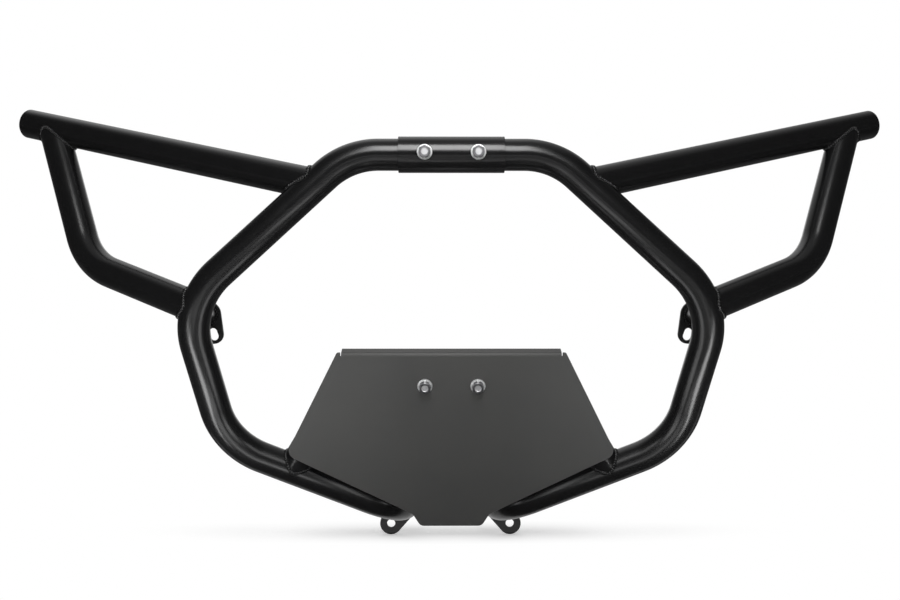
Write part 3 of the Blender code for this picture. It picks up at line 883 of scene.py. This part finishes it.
def tab(name, seat, pad_radius, lobe, lobe_radius, hole_circles):
    """A tab whose front face is at the seat, with a hole or slot through its lobe."""
    place = Matrix.Translation(seat + Vector((0.0, SEAT_GAP, 0.0)))
    outline = hull_outline([(0.0, 0.0, pad_radius), (*lobe, lobe_radius)])
    thing = drawn_plate(name, outline, TAB_THICKNESS, place, tab_coat)
    cutter_place = place @ Matrix.Translation((0.0, -BOOLEAN_REACH, 0.0))
    depth = TAB_THICKNESS + 2.0 * BOOLEAN_REACH
    hole = hull_outline(hole_circles)
    cutter = drawn_plate(name + " cutter", hole, depth, cutter_place, tab_coat)
    return broken_edges(combined(thing, cutter, "DIFFERENCE"))


def ring_points(centre, radius):
    points = []
    for step in range(SEAM_POINTS):
        angle = math.tau * step / SEAM_POINTS
        points.append(centre + Vector((radius * math.cos(angle), 0.0, radius * math.sin(angle))))
    return points


for name, side in SIDES.items():
    line = hoop_lines[name]
    root = on_side_bend(line, STANDOFF_SHARE)
    seat = Vector((root.x, top_axis.y + UPPER_TAB_BACK, root.z))
    copes = [hoop_bars[name], hoop_bars[name + " brace"]]
    stud = tube(name + "_standoff", [root, seat], STANDOFF_RADIUS, STANDOFF_WALL, (), copes)
    finished(stud, name + "_upper_standoff")
    lobe = Vector((-side * UPPER_LOBE_INWARD, -UPPER_LOBE_DROP))
    half_run = lobe.normalized() * (UPPER_SLOT_LENGTH - UPPER_SLOT_WIDTH) / 2.0
    slot = [(*(lobe + half_run * way), UPPER_SLOT_WIDTH / 2.0) for way in (-1.0, 1.0)]
    upper = tab(name + "_upper_tab", seat, UPPER_TAB_RADIUS, lobe, UPPER_LOBE_RADIUS, slot)
    finished(upper, name + "_upper_mount_tab")
    ring = ring_points(seat, STANDOFF_RADIUS)
    finished(weld(name + "_weld_upper_tab", ring, TAB_BEAD_RADIUS), None)

    lobe = Vector((side * LOWER_LOBE_OUTWARD, -LOWER_LOBE_DROP))
    hole = [(*lobe, LOWER_HOLE_RADIUS)]
    lower = tab(name + "_lower_tab", line[-1], LOWER_PAD_RADIUS, lobe, LOWER_LOBE_RADIUS, hole)
    finished(lower, name + "_lower_mount_tab")
    ring = ring_points(line[-1], TUBE_RADIUS)
    finished(weld(name + "_weld_lower_tab", ring, TAB_BEAD_RADIUS), None)
    print(upper.name, lower.name)

for guide in hoop_bars.values():
    bpy.data.objects.remove(guide)

# %% [markdown]
# ## The skid plate
# One sheet: the outline is cut flat, then the top edge is folded to the rear over a small radius.
# The fold stops short of the corners, which leaves the small square ears seen at both ends. A
# block with a bevel would have neither fold nor ears, so the sheet is folded here too: its top
# edge is spun round the fold's centre and drawn back, and Solidify gives the sheet its thickness.

# %% Skid plate
PLATE_THICKNESS = 0.003
PLATE_TOP = 0.042
PLATE_TOP_HALF = 0.135
PLATE_TOP_RADIUS = 0.003
PLATE_SHOULDER = -0.093
PLATE_SHOULDER_HALF = 0.202
PLATE_SHOULDER_RADIUS = 0.012
PLATE_NOTCH = -0.177
PLATE_NOTCH_HALF = 0.048
PLATE_NOTCH_RADIUS = 0.006
PLATE_FOOT = -0.194
PLATE_FOOT_HALF = 0.0385
PLATE_FOOT_RADIUS = 0.008
FLANGE_EAR = 0.005
FLANGE_DEPTH = 0.0145
FOLD_RADIUS = 0.0045
FOLD_STEPS = 10
RELIEF_WIDTH = 0.001
CORNER_STEPS = 12
PLATE_EDGE_BREAK = 0.0004


def rounded(corners):
    """An outline of (x, z) points from corners given as (x, z, radius)."""
    outline = []
    for index, (x, z, radius) in enumerate(corners):
        corner = Vector((x, z))
        if radius == 0.0:
            outline.append(corner)
            continue
        before = (Vector(corners[index - 1][:2]) - corner).normalized()
        after = (Vector(corners[(index + 1) % len(corners)][:2]) - corner).normalized()
        half = before.angle(after) / 2.0
        centre = corner + (before + after).normalized() * radius / math.sin(half)
        start = corner + before * radius / math.tan(half) - centre
        end = corner + after * radius / math.tan(half) - centre
        sweep = start.angle_signed(end)
        for step in range(CORNER_STEPS + 1):
            outline.append(centre + Matrix.Rotation(-sweep * step / CORNER_STEPS, 2) @ start)
    return outline


def skid_plate(place):
    flange_half = PLATE_TOP_HALF - FLANGE_EAR
    half = [
        (flange_half, PLATE_TOP - FOLD_RADIUS, 0.0),
        (flange_half + RELIEF_WIDTH, PLATE_TOP - FOLD_RADIUS, 0.0),
        (flange_half + RELIEF_WIDTH, PLATE_TOP, 0.0),
        (PLATE_TOP_HALF, PLATE_TOP, PLATE_TOP_RADIUS),
        (PLATE_SHOULDER_HALF, PLATE_SHOULDER, PLATE_SHOULDER_RADIUS),
        (PLATE_NOTCH_HALF, PLATE_NOTCH, PLATE_NOTCH_RADIUS),
        (PLATE_FOOT_HALF, PLATE_FOOT, PLATE_FOOT_RADIUS),
    ]
    other_half = [(-x, z, radius) for x, z, radius in reversed(half)]
    form = bmesh.new()
    verts = [form.verts.new((x, 0.0, z)) for x, z in rounded(half + other_half)]
    form.faces.new(verts)
    fold_edge = form.edges.get((verts[0], verts[-1]))
    spun = bmesh.ops.spin(
        form,
        geom=[verts[0], verts[-1], fold_edge],
        cent=(0.0, FOLD_RADIUS, PLATE_TOP - FOLD_RADIUS),
        axis=(-1.0, 0.0, 0.0),
        angle=math.radians(90.0),
        steps=FOLD_STEPS,
        use_duplicate=False,
    )
    last = [item for item in spun["geom_last"] if isinstance(item, bmesh.types.BMEdge)]
    grown = bmesh.ops.extrude_edge_only(form, edges=last)["geom"]
    moved = [item for item in grown if isinstance(item, bmesh.types.BMVert)]
    bmesh.ops.translate(form, verts=moved, vec=(0.0, FLANGE_DEPTH - FOLD_RADIUS, 0.0))
    bmesh.ops.recalc_face_normals(form, faces=form.faces)
    form.transform(place)
    thing = object_from(form, "folded_plate", plate_coat)
    sheet = thing.modifiers.new("sheet", "SOLIDIFY")
    sheet.thickness = PLATE_THICKNESS
    sheet.offset = -1.0
    sheet.use_even_offset = True
    bake(thing)
    return broken_edges(thing, PLATE_EDGE_BREAK)


plate_front = TUBE_RADIUS + SEAT_GAP + PLATE_THICKNESS
plate_place = lower_place @ Matrix.Translation((0.0, -plate_front, -CROSS_DROP))
plate = finished(skid_plate(plate_place), "skid_plate")
print(plate.name, len(plate.data.polygons), "faces")

# %% [markdown]
# ## Bolts and nuts
# Flange bolts are cold-formed: a washer-like flange, a chamfered hexagon and a shallow round dish
# in the head. Sculpting a head would never give true flats, so it is turned and cut to a hexagon,
# as the blank is trimmed in the die. The nuts are made in the same way, with a clear bore.

# %% Flange bolts and nuts
BOLT_RADIUS = 0.004
HEX_ACROSS_FLATS = 0.013
WASHER_RADIUS = 0.00895
WASHER_EDGE = 0.0018
WASHER_RISE = 0.0022
HEAD_HEIGHT = 0.0080
CHAMFER_ANGLE = math.radians(30.0)
CHAMFER_FACE_SHARE = 0.95
HEAD_DISH = 0.0008
HEAD_DISH_RIM = 0.0020
BOLT_PROUD = 0.0035
BOLT_TIP_CHAMFER = 0.0008
THREAD_CLEARANCE = 0.0003
HEX_EDGE_BREAK = 0.00025

hex_corner = HEX_ACROSS_FLATS / math.sqrt(3.0)
hex_face = HEX_ACROSS_FLATS / 2.0 * CHAMFER_FACE_SHARE


def hexagon(name, plating):
    """The chamfered hexagon of a head or a nut, standing on the flange's cone."""
    form = bmesh.new()
    bmesh.ops.create_cone(
        form,
        cap_ends=True,
        segments=6,
        radius1=hex_corner,
        radius2=hex_corner,
        depth=HEAD_HEIGHT - WASHER_EDGE,
        matrix=Matrix.Translation((0.0, 0.0, (HEAD_HEIGHT + WASHER_EDGE) / 2.0)),
    )
    outside = hex_corner + BOOLEAN_REACH
    foot = HEAD_HEIGHT - (outside - hex_face) * math.tan(CHAMFER_ANGLE)
    cone = [
        (0.0, 0.0),
        (outside, 0.0),
        (outside, foot),
        (hex_face, HEAD_HEIGHT),
        (0.0, HEAD_HEIGHT),
    ]
    blank = turned(name + " chamfer", cone, Matrix(), plating)
    return combined(object_from(form, name, plating), blank, "INTERSECT")


def fastener(name, body, recess, place, plating):
    """A turned body joined with the hexagon, with a turned recess cut out of it."""
    thing = turned(name, body, Matrix(), plating)
    thing = combined(thing, hexagon(name + " hex", plating), "UNION")
    thing = combined(thing, turned(name + " recess", recess, Matrix(), plating), "DIFFERENCE")
    broken_edges(thing, HEX_EDGE_BREAK)
    thing.data.transform(place)
    return thing


def bolt(name, grip, place, plating):
    """A flange bolt whose flange seats at its place, with the shank through the grip below."""
    length = grip + HEAD_HEIGHT + BOLT_PROUD
    shank = [
        (0.0, -length),
        (BOLT_RADIUS - BOLT_TIP_CHAMFER, -length),
        (BOLT_RADIUS, -length + BOLT_TIP_CHAMFER),
        (BOLT_RADIUS, 0.0),
        (WASHER_RADIUS, 0.0),
        (WASHER_RADIUS, WASHER_EDGE),
        (hex_corner, WASHER_RISE),
        (0.0, WASHER_RISE),
    ]
    rim = hex_face - HEAD_DISH_RIM
    dish = [
        (0.0, HEAD_HEIGHT - HEAD_DISH),
        (rim - HEAD_DISH, HEAD_HEIGHT - HEAD_DISH),
        (rim + HEAD_DISH, HEAD_HEIGHT + HEAD_DISH),
        (0.0, HEAD_HEIGHT + HEAD_DISH),
    ]
    return fastener(name, shank, dish, place, plating)


def nut(name, place, plating):
    """A flange nut whose flange seats at its place."""
    washer = [
        (0.0, 0.0),
        (WASHER_RADIUS, 0.0),
        (WASHER_RADIUS, WASHER_EDGE),
        (hex_corner, WASHER_RISE),
        (0.0, WASHER_RISE),
    ]
    bore = BOLT_RADIUS + THREAD_CLEARANCE
    hole = [
        (0.0, -BOOLEAN_REACH),
        (bore, -BOOLEAN_REACH),
        (bore, HEAD_HEIGHT + BOOLEAN_REACH),
        (0.0, HEAD_HEIGHT + BOOLEAN_REACH),
    ]
    return fastener(name, washer, hole, place, plating)


def fasten(name, place, front):
    """The two bolts and nuts of one sleeve, whose heads seat at front, ahead of its axis."""
    back = SLEEVE_RADIUS + SEAT_GAP
    plating = zinc(name + "_bright_zinc_plating", place, BOLT_SPACING)
    for side_name, side in SIDES.items():
        across = side * BOLT_SPACING / 2.0
        head_place = place @ Matrix.Translation((across, -front - SEAT_GAP, 0.0))
        head_place @= Matrix.Rotation(math.radians(90.0), 4, "X")
        nut_place = place @ Matrix.Translation((across, back, 0.0))
        nut_place @= Matrix.Rotation(math.radians(-90.0), 4, "X")
        one = bolt(name + "_flange_bolt_" + side_name, front + SEAT_GAP + back, head_place, plating)
        finished(one, name + "_bolt_" + side_name)
        other = nut(name + "_flange_nut_" + side_name, nut_place, plating)
        finished(other, name + "_nut_" + side_name)
        print(one.name, other.name)


fasten("top", sleeve_places["top"], SLEEVE_RADIUS)
fasten("plate", sleeve_places["cross"], plate_front + SLEEVE_WALL + SEAT_GAP)

# %% [markdown]
# ## Floor
# The bumper stands on a white sweep with a soft shadow under it. Lighting a real white floor until
# it clips would also flood the tubes with light, so the floor is plain white to the camera. In an
# oval under the bumper its white glow fades and its real shading is added. The fading glow is a
# painted shadow, which the real shading deepens under the tabs and runs. In the coat's reflections
# it is painted shade, a dim grey, a little brighter far in front and behind, because the real tubes
# mirror a floor that few lamps reach.

# %% Floor
WHITE = (1.0, 1.0, 1.0, 1.0)
FLOOR_HALF = 3.0
SHADOW_CENTRE = (0.0, 0.123)
SHADOW_HALF_X = 0.54
SHADOW_HALF_Y = 0.080
SHADOW_DEPTH = 1.5
SHADOW_FILL = 0.35
SWEEP_WHITE = 0.86
SWEEP_FRONT = 0.22
SWEEP_NEAR = 0.08
SWEEP_BACK = 0.20
FRONT_FADE_Y = (-0.90, -0.50)
BACK_FADE_Y = (0.05, 0.50)


def empty_tree(holder):
    """The node tree of a material or a world, with nothing in it."""
    holder.use_nodes = True
    holder.node_tree.nodes.clear()
    return holder.node_tree


def floor_material():
    """White to the camera, but a painted shadow with real shading inside a soft oval under the
    bumper.
    """
    material = bpy.data.materials.new("white_sweep")
    tree = empty_tree(material)
    place = add_node(tree, "ShaderNodeTexCoord").outputs["Object"]
    oval = add_node(
        tree,
        "ShaderNodeMapping",
        vector_type="TEXTURE",
        Vector=place,
        Location=(*SHADOW_CENTRE, 0.0),
        Scale=(SHADOW_HALF_X, SHADOW_HALF_Y, 1.0),
    )
    # Painted shadow: inside the oval the white glow is cut, and real diffuse shading is added in its
    # place.
    pool = add_node(tree, "ShaderNodeTexGradient", gradient_type="QUADRATIC_SPHERE")
    feed(tree, pool, oval.outputs["Vector"])
    depth = reckon(tree, "MULTIPLY", pool.outputs["Fac"], SHADOW_DEPTH, use_clamp=True)
    rest = reckon(tree, "MULTIPLY_ADD", depth, SHADOW_FILL - 1.0, 1.0)
    glow = add_node(tree, "ShaderNodeEmission", Color=WHITE, Strength=rest)
    shaded = add_node(tree, "ShaderNodeBsdfDiffuse", Color=depth)
    seen = add_node(tree, "ShaderNodeAddShader", glow.outputs["Emission"], shaded.outputs["BSDF"])
    # Painted shade in reflections: to glossy rays the floor is a dim grey, lighter far in front and
    # behind.
    along = add_node(tree, "ShaderNodeSeparateXYZ", place).outputs["Y"]
    front = ramp(tree, along, *FRONT_FADE_Y, SWEEP_FRONT, SWEEP_NEAR)
    back = ramp(tree, along, *BACK_FADE_Y, 0.0, SWEEP_BACK)
    path = add_node(tree, "ShaderNodeLightPath").outputs
    reflected_floor_shade = reckon(tree, "ADD", front, back)
    tone = mix(tree, path["Is Glossy Ray"], SWEEP_WHITE, reflected_floor_shade, "FLOAT")
    plain = add_node(tree, "ShaderNodeBsdfDiffuse", Color=tone)
    choice = add_node(tree, "ShaderNodeMixShader")
    feed(tree, choice, path["Is Camera Ray"], plain.outputs["BSDF"], seen.outputs["Shader"])
    add_node(tree, "ShaderNodeOutputMaterial", Surface=choice.outputs["Shader"])
    return material


floor_mesh = bpy.data.meshes.new("floor")
ways = ((-1, -1), (1, -1), (1, 1), (-1, 1))
floor_mesh.from_pydata([(x * FLOOR_HALF, y * FLOOR_HALF, 0.0) for x, y in ways], [], [(0, 1, 2, 3)])
floor_mesh.materials.append(floor_material())
floor = link_object("floor", floor_mesh)
print("floor %.1f m square" % (2.0 * FLOOR_HALF))

# %% [markdown]
# ## World
# Black powder coat shows little but what it mirrors. A dome of one strength would turn it grey, so
# the world is white to the camera alone. As light it is bright behind and above, a little more
# so on the left, with a bright patch straight behind, and nearly dark elsewhere. The rims of the
# tubes then catch the backdrop, as in the picture, and their fronts stay black.

# %% World
WORLD_BASE = 0.05
WORLD_BEHIND = 0.38
WORLD_STRAIGHT = 0.95
WORLD_GLOW_LEFT = 0.66
WORLD_GLOW_RIGHT = 0.02
WORLD_TOP = 0.32
WORLD_TILT = 0.6
BEHIND_FADE = (0.55, 1.15)
HEIGHT_FADE_Z = (0.30, 0.85)
SIDE_FADE_X = (-0.10, 0.35)
TOP_FADE_Z = (0.80, 0.95)
STRAIGHT_FADE_Y = (0.88, 0.96)
LEVEL_FADE_Z = (-0.10, 0.05)


def white_world():
    """White to the camera; as light, bright behind and above the bumper, nearly dark elsewhere."""
    world = bpy.data.worlds.new("studio")
    tree = empty_tree(world)
    place = add_node(tree, "ShaderNodeTexCoord").outputs["Generated"]
    x, y, z = add_node(tree, "ShaderNodeSeparateXYZ", place).outputs
    rise = reckon(tree, "MULTIPLY_ADD", z, WORLD_TILT, y)
    behind = ramp(tree, rise, *BEHIND_FADE, 0.0, 1.0)
    height = ramp(tree, z, *HEIGHT_FADE_Z, 0.0, 1.0)
    side = ramp(tree, x, *SIDE_FADE_X, WORLD_GLOW_LEFT, WORLD_GLOW_RIGHT)
    top = ramp(tree, z, *TOP_FADE_Z, WORLD_BASE, WORLD_TOP)
    glow = reckon(tree, "MULTIPLY_ADD", height, side, WORLD_BEHIND)
    total = reckon(tree, "MULTIPLY_ADD", glow, behind, top)
    straight = ramp(tree, y, *STRAIGHT_FADE_Y, 0.0, WORLD_STRAIGHT)
    level = ramp(tree, z, *LEVEL_FADE_Z, 0.0, 1.0)
    whole = reckon(tree, "MULTIPLY_ADD", straight, level, total)
    path = add_node(tree, "ShaderNodeLightPath").outputs
    strength = mix(tree, path["Is Camera Ray"], whole, 1.0, "FLOAT")
    light = add_node(tree, "ShaderNodeBackground", Color=WHITE, Strength=strength)
    add_node(tree, "ShaderNodeOutputWorld", Surface=light.outputs["Background"])
    bpy.context.scene.world = world


white_world()
strengths = (WORLD_BASE, WORLD_TOP, WORLD_BEHIND, WORLD_STRAIGHT)
print("world: elsewhere %.2f, above %.2f, behind %.2f, straight behind %.2f more" % strengths)

# %% [markdown]
# ## Lamps
# Each bright line on a tube is the mirror image of one lamp, so lamps are placed by the line that
# they draw. The key box, in front and above, draws the line along the top run and lights the
# plate. A hot card low beside each leg is tilted to that leg alone and draws its first line, and
# a card standing between the legs draws the second. Low and bend cards draw the lines of the
# bottom run and the lower bends. Cards that lie on the floor give the undersides their sheen, and
# the strips behind do so for the rear bends. One large lamp would be simpler, but would lay one
# broad grey band over every tube.

# %% Lamps
LYING = 0.002

SOFT_BOXES = {
    "key": ((0.0, -1.26, 1.44), (0.0, -0.08, 0.50), (0.54, 0.90), 18.6),
    "left_hot_card": ((-0.365, -0.285, 0.055), (-1.070, 0.215, 0.555), (0.23, 0.12), 0.77),
    "right_hot_card": ((0.367, -0.290, 0.055), (1.067, 0.210, 0.555), (0.23, 0.12), 0.74),
    "left_leg_card": ((-0.055, -0.25, 0.115), (-0.50, -0.25, 0.115), (0.12, 0.11), 0.11),
    "right_leg_card": ((0.070, -0.25, 0.110), (0.50, -0.25, 0.110), (0.12, 0.11), 0.10),
    "left_low_card": ((-0.20, -0.27, 0.030), (-0.17, -0.03, 0.06), (0.14, 0.05), 0.075),
    "right_low_card": ((0.20, -0.28, 0.030), (0.17, -0.03, 0.06), (0.14, 0.05), 0.040),
    "left_bend_card": ((-0.055, -0.30, 0.295), (-0.20, -0.04, 0.13), (0.16, 0.09), 0.080),
    "right_bend_card": ((0.050, -0.30, 0.295), (0.20, -0.04, 0.13), (0.16, 0.09), 0.062),
}

FLOOR_CARDS = {
    "left_slant": ((-0.640, -0.590), -48.7, (0.10, 0.50), 0.85),
    "right_slant": ((0.630, -0.610), 48.7, (0.10, 0.50), 0.75),
    "left_strip": ((-0.220, -0.700), 0.0, (0.16, 0.30), 0.28),
    "right_strip": ((0.280, -0.740), 0.0, (0.16, 0.34), 0.17),
    "middle_card": ((0.0, -0.940), 0.0, (0.42, 0.20), 0.16),
    "left_spot": ((-0.060, -0.500), 0.0, (0.060, 0.060), 0.025),
    "right_spot": ((0.090, -0.560), 0.0, (0.060, 0.060), 0.025),
    "left_wide_card": ((-0.587, -1.018), 10.0, (0.952, 0.631), 1.40),
    "right_wide_card": ((0.509, -1.296), -10.0, (0.367, 0.202), 0.42),
    "far_card": ((0.0, -2.250), 0.0, (1.135, 0.760), 3.60),
    "rear_strip": ((0.100, 0.037), 0.0, (1.155, 0.055), 0.12),
    "rear_card": ((0.0, 0.070), 0.0, (0.24, 0.10), 0.055),
}


def lamp(name, place, turn, size, power):
    """A rectangular area lamp that the camera doesn't see."""
    data = bpy.data.lights.new(name, "AREA")
    data.shape = "RECTANGLE"
    data.size, data.size_y = size
    data.energy = power
    thing = bpy.data.objects.new(name, data)
    thing.location = place
    thing.rotation_euler = turn
    thing.visible_camera = False
    bpy.context.scene.collection.objects.link(thing)


for name, (place, aim, size, power) in SOFT_BOXES.items():
    turn = (Vector(aim) - Vector(place)).to_track_quat("-Z", "Y").to_euler()
    lamp(name, place, turn, size, power)
for name, (place, angle, size, power) in FLOOR_CARDS.items():
    lamp(name, (*place, LYING), (math.pi, 0.0, math.radians(angle)), size, power)
print("lamps:", len(SOFT_BOXES) + len(FLOOR_CARDS))
